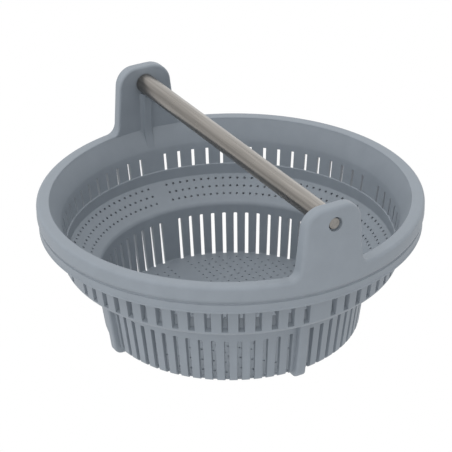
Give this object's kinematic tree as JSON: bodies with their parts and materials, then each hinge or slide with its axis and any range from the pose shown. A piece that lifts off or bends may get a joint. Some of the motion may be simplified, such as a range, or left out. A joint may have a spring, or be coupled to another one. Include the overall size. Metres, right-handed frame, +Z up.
{
  "type": "strainer basket",
  "caption": "Round stepped strainer basket with slotted walls, a sloping shelf between the tiers, rib feet and a turning bar handle held between upright lugs.",
  "frame": {"origin": "on the basket's axis, level with the undersides of the rib feet", "axes": "+Z up along the basket's axis; the bar handle lies along X, between a lug at +X and a lug at -X"},
  "size_m": [0.2416, 0.2398, 0.1322],
  "materials": {
    "basket_plastic": "satin blue-grey moulded plastic",
    "tube_steel": "satin stainless tube",
    "plug_steel": "turned stainless"
  },
  "bodies": {
    "basket": {"basket": "basket_plastic"},
    "handle": {"handle_tube": "tube_steel", "end_plug_pos_x": "plug_steel", "end_plug_neg_x": "plug_steel"}
  },
  "joints": [
    {"name": "handle_spin", "type": "hinge", "parent": "basket", "child": "handle", "pos_m": [0, 0, 0.1213], "axis": [1, 0, 0], "continuous": true}
  ]
}
